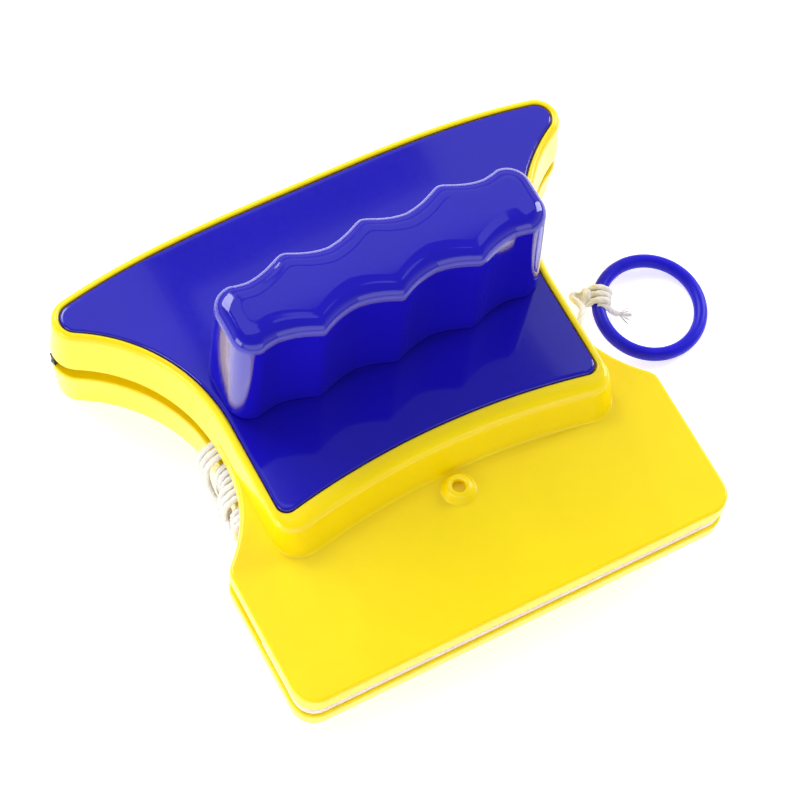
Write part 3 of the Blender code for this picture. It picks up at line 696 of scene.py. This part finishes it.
def grip(name, place, blue):
    """A hollow moulding with a rounded top and two screw bosses inside."""
    low = TRAY_H + FIT
    top = TRAY_H + GRIP_H
    drop = 4.2
    round_in = 4.8
    squareness = 0.88
    rings = [grip_ring(low, 0.35, 0.0), grip_ring(low + 0.35, 0.0, 0.0)]
    for i in range(1, 7):
        part = i / 7
        height = low + (top - drop - low) * part
        rings.append(grip_ring(height, 0.0, GRIP_DRAFT * part, 0.5 * part ** 2))
    for turn in range(0, 91, 6):
        inward = round_in * (1 - max(0.0, cos(radians(turn))) ** squareness)
        height = top - drop * (1 - sin(radians(turn)) ** squareness)
        rings.append(grip_ring(height - 0.1 * turn / 90, inward, GRIP_DRAFT, 0.5 + 0.5 * turn / 90))
    rings.append(grip_ring(top, 6.0, GRIP_DRAFT, 1.0))
    shell = make(name, skin(rings), blue, None, 50.0)
    hollow = skin([grip_ring(low - 1.0, GRIP_WALL, 0.0),
                   grip_ring(top - GRIP_WALL - 3.0, GRIP_WALL, GRIP_DRAFT),
                   grip_ring(top - GRIP_WALL, GRIP_WALL + 3.0, GRIP_DRAFT)])
    combine(shell, "DIFFERENCE", hollow)
    bosses = [turned(((4.0, low + 0.4), (3.5, top - 1.5)), 32, (x, GRIP_Y)) for x in GRIP_SCREWS]
    combine(shell, "UNION", merged(bosses))
    pilots = [turned(((PILOT_R, low - 1), (PILOT_R, low + 11.5)), 20, (x, GRIP_Y))
              for x in GRIP_SCREWS]
    combine(shell, "DIFFERENCE", merged(pilots))
    shell.data.transform(place)
    even_gloss(shell, 50.0)
    return shell


# Pads and blades --------------------------------------------------------------------------

def soft_pad(name, outline_at, high, root, place, cloth, seed):
    """A cut pad with rounded, slightly uneven edges. Its outline is drawn in by the given
    amount; root is how far, and up to which height, for the part set in the tray."""
    edge_r = 0.9
    profile = []
    for turn in (0, 30, 60, 90):
        profile.append((edge_r * (1 - sin(radians(turn))), edge_r * (1 - cos(radians(turn))) - PROUD))
    profile += [(0.0, high - 0.2), (0.2, high)]
    if root:
        draw, top = root
        profile += [(draw, high), (draw, top)]
    counts = side_counts(outline_at(0.0), 1.4)
    bm = skin([[(x, y, z) for x, y in divided(outline_at(draw), counts)] for draw, z in profile])
    uneven = 0.22 * MM
    for v in bm.verts:
        spot = v.co * 180 + Vector((seed, seed, 0))
        if v.co.z < (high - 0.5) * MM:
            v.co.x += noise.noise(spot) * uneven
            v.co.y += noise.noise(spot + Vector((9, 0, 0))) * uneven
    return make(name, bm, cloth, place, 60.0)


def front_pad_outline(grow):
    """The long pad under the flange, grown by this much all round."""
    x0, x1, y0, y1 = FRONT_PAD
    return rounded_box(x0 - grow, x1 + grow, y0 - grow, y1 + grow, FRONT_PAD_CORNER_R + grow, 6)


def rear_pad_outline(grow):
    """The pad under the wide end, which keeps its distance from the waist and the blade."""
    wx = COVER_X + WAIST_R
    r = WAIST_R + REAR_PAD_INSET - grow
    front = REAR_PAD_Y - grow
    start = 180 - degrees(asin((front - WAIST_Y) / r))
    side = arc(wx, WAIST_Y, r, start, 128 - 0.8 * grow, 16)
    end_x, end_y = side[-1]
    rear = WIDE_Y - REAR_PAD_INSET + grow
    edge = [(end_x * (1 - i / 16), rear - (rear - end_y - 1.0) * (1 - i / 16) ** WIDE_POWER)
            for i in range(1, 17)]
    right = side + edge
    return right + [(-x, y) for x, y in reversed(right[:-1])]


def blade(name, place, rubber):
    """Rubber strip with a thick root in the groove and a thin lip that reaches the tips."""
    half = BLADE_T / 2
    lip = BLADE_LIP_T / 2
    root = BLADE_SINK - FIT
    low = ((-lip + 0.1, -PROUD), (lip - 0.1, -PROUD), (lip, -PROUD + 0.15), (half - 0.1, -0.5),
           (half, -0.35))
    high = ((-half, -0.35), (-half + 0.1, -0.5), (-lip, -PROUD + 0.15))
    section = low + ((half, root), (-half, root)) + high
    bare = low + ((half, 0.05 - FIT), (-half, 0.05 - FIT)) + high
    strip = blade_strip(BLADE_ROOT_X, 120, section, BLADE_X, bare)
    return make(name, strip, rubber, place, 30.0)


# Cord -------------------------------------------------------------------------------------

def wall_x(y):
    """How far out the edge of the trays is at this y, near the waist."""
    if y < FLANGE_NECK_Y:
        return COVER_X + WALL_OUT + FLANGE_NECK_R - sqrt(FLANGE_NECK_R ** 2 - (y - FLANGE_NECK_Y) ** 2)
    if y < WAIST_Y:
        return COVER_X + WALL_OUT
    return COVER_X + WAIST_R - sqrt((WAIST_R - WALL_OUT) ** 2 - (y - WAIST_Y) ** 2)


EDGE_Z = 13.65               # the cord turns down over the tray's edge about this height
LOOP_Z = 10.2                # middle of the loops at the ends of the hank
LAYERS = ((17.25, 3.6), (19.3, 5.65))    # height of a run, and radius over the edge


def run_to_edge(side, y, layer):
    """From the gap, over the edge of the outer tray and down to the top of a loop."""
    z, r = LAYERS[layer]
    x = wall_x(y) - 2.4
    points = [(side * (x - 8.0), y, z), (side * (x - 4.0), y, z)]
    points += [(side * (x + r * sin(radians(a))), y, EDGE_Z + r * cos(radians(a)))
               for a in (0, 22, 45, 68, 90)]
    return points


def loop_below(side, y_from, y_to, layer, out=0.0):
    """Half a turn in the upright plane beside the wall, from one run to the next. out pushes
    its first part away from the wall, past the loops that it crosses."""
    r = abs(y_to - y_from) / 2
    middle = (y_to + y_from) / 2
    reach = LAYERS[layer][1] - 2.4
    points = []
    steps = 10
    for i in range(steps + 1):
        turn = pi * i / steps
        y = middle + (y_from - middle) * cos(turn)
        push = out * min(1.0, 1.6 * (1 - i / steps))
        points.append((side * (wall_x(y) + reach + push), y, LOOP_Z - r * sin(turn)))
    return points


def hank_route():
    """The spare cord: to and fro between the trays in two layers, with loops at both waists."""
    lower = (-9.6, -7.7, -5.8, 2.8, 4.7, 6.6)
    upper = (-3.6, -1.7, 0.2, 8.8, 10.7, 12.6)
    stops = [lower[i] for i in (0, 5, 1, 4, 2, 3)] + [upper[i] for i in (5, 0, 4, 1, 3, 2)]
    layers = [0] * 6 + [1] * 5
    step_up = 5
    trips = zip(layers, stops, stops[1:], (-1, 1) * 5 + (-1,))
    route = [(-8.0, -11.0, 17.4), (-13.0, -9.9, 17.25), (-22.0, -9.6, 17.25)]
    for number, (layer, y_from, y_to, side) in enumerate(trips):
        if number:
            for x in (-30.0, -10.0, 10.0, 30.0):
                wander = 0.16 * noise.noise(Vector((x * 0.13, y_from * 1.7, layer)))
                route.append((side * x, y_from + wander, LAYERS[layer][0]))
        if number == step_up:
            route += crossing(y_from, y_to)
            continue
        route += run_to_edge(side, y_from, layer)
        route += loop_below(side, y_from, y_to, layer)
        route += reversed(run_to_edge(side, y_to, layer))
    route += [(x, stops[-1], LAYERS[1][0]) for x in (-30.0, -10.0, 10.0, 30.0)]
    route += [(46.0, stops[-1], 19.35), (50.0, -0.8, 19.7), (53.8, 1.1, 19.6)]
    return route


def crossing(y_from, y_to):
    """From the last run of the lower layer to the first of the upper one, outside the rest."""
    x = wall_x(y_from)
    points = [(x - 9.0, y_from, 17.25), (x - 5.0, y_from, 17.25), (x - 0.5, y_from, 17.5),
              (x + 2.8, y_from, 16.6), (x + 4.9, y_from, 14.2), (x + 5.4, y_from, 12.0)]
    points += loop_below(1, y_from, y_to, 1, 2.2)
    points += reversed(run_to_edge(1, y_to, 1))
    return points


def smooth_route(points, step):
    """Evenly spaced points on a smooth curve through the given ones."""
    ends = [Vector(p) for p in points]
    ends = [ends[0] * 2 - ends[1]] + ends + [ends[-1] * 2 - ends[-2]]
    fine = []
    for a, b, c, d in zip(ends, ends[1:], ends[2:], ends[3:]):
        knots = [0.0]
        for p, q in ((a, b), (b, c), (c, d)):
            knots.append(knots[-1] + max(0.001, (q - p).length) ** 0.5)
        parts = max(2, int((c - b).length / (step * 0.25)))
        for i in range(parts):
            t = knots[1] + (knots[2] - knots[1]) * i / parts
            fine.append(between(a, b, c, d, knots, t))
    fine.append(ends[-2])
    out = [fine[0]]
    travelled = 0.0
    for p, q in zip(fine, fine[1:]):
        travelled += (q - p).length
        if travelled >= step:
            out.append(q)
            travelled = 0.0
    out[-1] = fine[-1]
    return out


def between(a, b, c, d, knots, t):
    """Centripetal Catmull-Rom curve, which never overshoots or kinks."""
    t0, t1, t2, t3 = knots
    ab = a * ((t1 - t) / (t1 - t0)) + b * ((t - t0) / (t1 - t0))
    bc = b * ((t2 - t) / (t2 - t1)) + c * ((t - t1) / (t2 - t1))
    cd = c * ((t3 - t) / (t3 - t2)) + d * ((t - t2) / (t3 - t2))
    abc = ab * ((t2 - t) / (t2 - t0)) + bc * ((t - t0) / (t2 - t0))
    bcd = bc * ((t3 - t) / (t3 - t1)) + cd * ((t - t1) / (t3 - t1))
    return abc * ((t2 - t) / (t2 - t1)) + bcd * ((t - t1) / (t2 - t1))


def rope(points, diameter, pitch, lobes=3, per_lobe=5, taper=0):
    """Twisted strands along a route. The rows of the mesh follow the strands, so each one
    stands out as a ridge."""
    bm = bmesh.new()
    uv = bm.loops.layers.uv.new("along")
    count = lobes * per_lobe
    loops = []
    along = [0.0]
    for p, q in zip(points, points[1:]):
        along.append(along[-1] + (q - p).length)
    ahead = (points[1] - points[0]).normalized()
    across = ahead.orthogonal().normalized()
    for i, p in enumerate(points):
        nxt = points[min(i + 1, len(points) - 1)]
        last = points[max(i - 1, 0)]
        turned_to = (nxt - last).normalized()
        across = (across - turned_to * across.dot(turned_to)).normalized()
        up = turned_to.cross(across)
        thin = 1.0
        if taper and i > len(points) - taper:
            thin = 1.0 - 0.75 * (i - (len(points) - taper)) / taper
        loop = []
        for j in range(count):
            part = abs(cos(pi * j / per_lobe))
            r = diameter / 2 * (1 - STRAND_RELIEF * (1 - part)) * thin
            r *= 1 + 0.05 * noise.noise(Vector((along[i] * 0.9, j * 0.7, diameter)))
            angle = 2 * pi * (j / count + along[i] / pitch)
            loop.append(bm.verts.new((p + (across * cos(angle) + up * sin(angle)) * r) * MM))
        loops.append(loop)
    for i, (one, two) in enumerate(zip(loops, loops[1:])):
        for j in range(count):
            k = (j + 1) % count
            f = bm.faces.new((one[j], one[k], two[k], two[j]))
            spots = ((i, j), (i, j + 1), (i + 1, j + 1), (i + 1, j))
            for corner, (row, column) in zip(f.loops, spots):
                corner[uv].uv = (along[row] * MM, column / count)
    bm.faces.new(reversed(loops[0]))
    bm.faces.new(loops[-1])
    return bm


def ring_frame():
    """The ring lies on the table, lifted a little on the side of its knot."""
    toward = Vector((cos(radians(KNOT_DEG)), sin(radians(KNOT_DEG)), 0.0))
    tilt = asin(KNOT_LIFT / (2 * RING_R))
    axis = toward.cross(Vector((0.0, 0.0, 1.0)))
    height = RING_TUBE_R + 0.05 + KNOT_LIFT / 2
    return Matrix.Translation((*RING_AT, height)) @ Matrix.Rotation(tilt, 4, axis)


def ring_mesh():
    """The finger ring, round in section."""
    place = ring_frame()
    around, across = 160, 28
    bm = bmesh.new()
    loops = []
    for i in range(around):
        a = 2 * pi * i / around
        loop = []
        for j in range(across):
            b = 2 * pi * j / across
            r = RING_R + RING_TUBE_R * cos(b)
            spot = Vector((r * cos(a), r * sin(a), RING_TUBE_R * sin(b)))
            loop.append(bm.verts.new(place @ spot * MM))
        loops.append(loop)
    for one, two in zip(loops, loops[1:] + loops[:1]):
        for j in range(across):
            k = (j + 1) % across
            bm.faces.new((one[j], two[j], two[k], one[k]))
    return bm


def knot_route():
    """Two and a half turns round the ring."""
    place = ring_frame()
    points = []
    wrap_r = RING_TUBE_R + CORD_D / 2
    turns = 2
    steps = 14
    for i in range(turns * steps + steps // 2 + 1):
        a = 2 * pi * i / steps + radians(20)
        slide = -1.9 + 1.86 * i / steps
        turn = radians(KNOT_DEG) - slide / RING_R
        r = RING_R + wrap_r * cos(a)
        points.append(place @ Vector((r * cos(turn), r * sin(turn), wrap_r * sin(a))))
    return points


def half_hitches():
    """Two turns of the end round the incoming cord, close outside the ring."""
    place = ring_frame()
    points = []
    centre_turn = radians(KNOT_DEG)
    out = Vector((cos(centre_turn), sin(centre_turn), 0.0))
    side = Vector((-sin(centre_turn), cos(centre_turn), 0.0))
    up = Vector((0.0, 0.0, 1.0))
    steps = 12
    r = 1.75
    outside = 4.5
    advance = 0.8
    for i in range(2 * steps + steps // 2 + 1):
        a = -2 * pi * i / steps
        spot = out * (RING_R + outside - advance * i / steps)
        spot += side * (r * cos(a) + 0.3) + up * (r * sin(a) + 0.2)
        points.append(place @ spot)
    return points


TAIL_ROUTE = (
    (66.0, 9.2, 5.8), (67.4, 8.2, 5.4), (68.8, 7.4, 3.8), (70.0, 6.7, 2.0), (71.3, 6.0, 1.1),
)


def fray(at, direction, seed):
    """Loose yarns at the cut end of the cord, spread on the table."""
    meshes = []
    for i in range(YARN_COUNT):
        spread = (i - (YARN_COUNT - 1) / 2) / YARN_COUNT
        wob = noise.noise(Vector((seed, i * 1.7, 0)))
        aim = Matrix.Rotation(1.5 * spread + 0.4 * wob, 3, "Z") @ direction
        points = [at - direction * 0.6]
        long = YARN_LENGTH + 1.8 * noise.noise(Vector((i * 2.3, seed, 4)))
        for k in range(1, 6):
            bend = Matrix.Rotation(0.5 * wob * k / 5, 3, "Z") @ aim
            low = max(0.2, at.z - 0.16 * k)
            spot = at + bend * (long * k / 5)
            points.append(Vector((spot.x, spot.y, low)))
        meshes.append(rope(smooth_route(points, 0.3), YARN_D, 3.0, lobes=2, per_lobe=3, taper=4))
    return meshes


def stopper_route():
    """An overhand knot drawn tight under the cord hole."""
    points = [(0.0, BOSS_Y, 7.8), (0.0, BOSS_Y, 6.6)]
    for i in range(25):
        a = 2 * pi * i / 12
        points.append((2.0 * cos(a), BOSS_Y + 2.0 * sin(a), 5.9 - 1.75 * i / 12))
    points += [(0.8, BOSS_Y - 0.4, 1.6)]
    return points


# Build ------------------------------------------------------------------------------------

def build():
    """Every piece in its place, and metals on the parts inside."""
    yellow = moulded_yellow_abs()
    blue = polished_blue_abs()
    ring_blue = cast_ring_plastic()
    cotton = twisted_cotton()
    cloth = looped_pile_cloth()
    rubber = extruded_rubber()
    # Bright zinc plate on small screws, a little blue and nearly smooth
    zinc = bare_metal("zinc_plated_screw_steel", "#a9adb0", "#c9ccce", 0.28, (400, 400, 400))
    # Cold-rolled sheet: dull grey with fine lines along the rolling direction
    rolled = bare_metal("cold_rolled_sheet_steel", "#7c7d7f", "#98999a", 0.4, (30, 1800, 400))
    # Nickel plate over sintered magnet: warm and bright, with a faint orange peel
    nickel = bare_metal("nickel_plated_magnet", "#b9b2a4", "#d2cbbd", 0.2, (900, 900, 900))

    for prefix, body, place in (("inner", "inner_half", INNER), ("outer", "outer_half", OUTER)):
        pieces = [
            (tray(prefix + "_shell", place, yellow, prefix == "outer"), prefix + "_tray"),
            (cover(prefix + "_cover_plate", place, blue, prefix == "inner"), prefix + "_cover"),
            (blade(prefix + "_rubber_blade", place, rubber), prefix + "_wiper_blade"),
        ]
        front = soft_pad(prefix + "_front_cloth",
                         lambda draw: front_pad_outline(FRONT_PAD_BRIM - draw),
                         -FIT, (FRONT_PAD_BRIM, FRONT_PAD_SINK - FIT), place, cloth, 3.1)
        rear = soft_pad(prefix + "_rear_cloth", lambda draw: rear_pad_outline(-draw),
                        -FIT, None, place, cloth, 7.7)
        pieces += [(front, prefix + "_front_pad"), (rear, prefix + "_rear_pad")]
        for piece, node in pieces:
            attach(piece, body)
            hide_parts(node)

    handle = grip("grip_shell", INNER, blue)
    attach(handle, "inner_half")
    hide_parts("handle_grip")

    ring = make("safety_ring", ring_mesh(), ring_blue, None, 60.0)
    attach(ring, "outer_half")
    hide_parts("finger_ring")

    route = list(LEAD_ROUTE) + hank_route() + list(FREE_END_ROUTE)
    line = smooth_route(route, 0.45)
    cord = make("safety_cord", rope(line, CORD_D, CORD_PITCH), cotton, None, 80.0)
    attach(cord, "outer_half")
    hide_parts("cord_lead", "cord_hank", "cord_free_end")

    knot_line = smooth_route([*FREE_END_ROUTE[-2:], *knot_route(), *half_hitches()], 0.35)
    tail_line = smooth_route(TAIL_ROUTE, 0.35)
    aim = (tail_line[-1] - tail_line[-4]).normalized()
    turns = [rope(path, CORD_D, CORD_PITCH) for path in (knot_line, tail_line)]
    yarns = fray(tail_line[-1], aim, 2.0)
    knot = make("ring_knot", merged(turns + yarns), cotton, None, 80.0)
    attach(knot, "outer_half")
    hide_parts("cord_ring_knot")

    stopper = make("stopper_knot", rope(smooth_route(stopper_route(), 0.35), CORD_D, CORD_PITCH),
                   cotton, None, 80.0)
    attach(stopper, "outer_half")
    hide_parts("cord_anchor_knot")

    for node, obj in list(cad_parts.items()):
        pick = None
        if "screw" in node:
            pick = zinc
        elif "yoke_plate" in node:
            pick = rolled
        elif "magnet" in node:
            pick = nickel
        if pick:
            for slot in obj.material_slots:
                slot.material = pick


# Studio -----------------------------------------------------------------------------------

def softbox(name, at, aim, wide, high, power):
    """A soft white light. Without an aim it faces straight down."""
    data = bpy.data.lights.new(name, "AREA")
    data.shape = "RECTANGLE"
    data.size = wide
    data.size_y = high
    data.energy = power
    lamp = bpy.data.objects.new(name, data)
    lamp.location = at
    if aim:
        lamp.rotation_euler = (Vector(aim) - Vector(at)).to_track_quat("-Z", "Y").to_euler()
    bpy.context.scene.collection.objects.link(lamp)


def lights():
    """A white sweep and soft overhead light, as in a product studio."""
    floor = bpy.data.meshes.new("floor")
    size = 3.0
    floor.from_pydata([(-size, -size, 0), (size, -size, 0), (size, size, 0), (-size, size, 0)], [],
                      [(0, 1, 2, 3)])
    sweep = bpy.data.objects.new("floor", floor)
    paper, tree, shader = surface("white_paper", {
        "Roughness": 0.9, "Specular IOR Level": 0.2, "Emission Color": (1.0, 1.0, 1.0, 1.0),
        "Emission Strength": 0.52,
    })
    spot = add(tree, "ShaderNodeTexCoord", {}, {}).outputs["Object"]
    tooth = add(tree, "ShaderNodeTexNoise", {}, {"Vector": spot, "Scale": 20.0}).outputs["Fac"]
    colour = add(tree, "ShaderNodeValToRGB",
                 {"stops": ((0.3, linear("#fafafa")), (0.7, linear("#ffffff")))},
                 {"Fac": tooth}).outputs["Color"]
    tree.links.new(colour, shader.inputs["Base Color"])
    floor.materials.append(paper)
    bpy.context.scene.collection.objects.link(sweep)
    world = bpy.data.worlds.new("studio")
    world.use_nodes = True
    tree = world.node_tree
    way = add(tree, "ShaderNodeTexCoord", {}, {}).outputs["Generated"]
    rise = add(tree, "ShaderNodeSeparateXYZ", {}, {"Vector": way}).outputs["Z"]
    walls = add(tree, "ShaderNodeValToRGB",
                {"stops": ((0.1, linear("#b39d97")), (0.3, linear("#ececec")),
                           (0.8, linear("#787878")))},
                {"Fac": rise}).outputs["Color"]
    tree.links.new(walls, tree.nodes["Background"].inputs["Color"])
    bpy.context.scene.world = world

    # Overhead: diffusers side by side, with a gap between them. West, east, south and north edge
    panels = (
        ("north_diffuser", (0.27, 0.52, 0.755, 1.5)),
        ("middle_diffuser", (0.27, 0.52, 0.61, 0.70)),
        ("west_diffuser", (-0.3, 0.25, 0.1, 1.5)),
        ("east_diffuser", (0.50, 1.2, 0.1, 1.5)),
    )
    high = 1.4
    glow = 0.6
    for name, (west, east, south, north) in panels:
        wide, deep = east - west, north - south
        softbox(name, ((west + east) / 2, (south + north) / 2, high), None, wide, deep,
                glow * pi * wide * deep)
    centre = (0.0, 0.0, 0.03)
    softbox("back_left_softbox", (-0.35, 1.15, 1.2), centre, 0.9, 0.9, 17.0)
    softbox("left_softbox", (-1.1, -0.15, 0.45), centre, 0.5, 0.6, 3.5)
    softbox("right_softbox", (1.3, 0.1, 0.7), centre, 0.5, 0.8, 9.0)
    softbox("front_fill", (-0.6, -1.5, 0.7), centre, 2.4, 1.2, 8.0)
    bpy.context.scene.view_settings.view_transform = "Standard"


set_camera()
build()
lights()
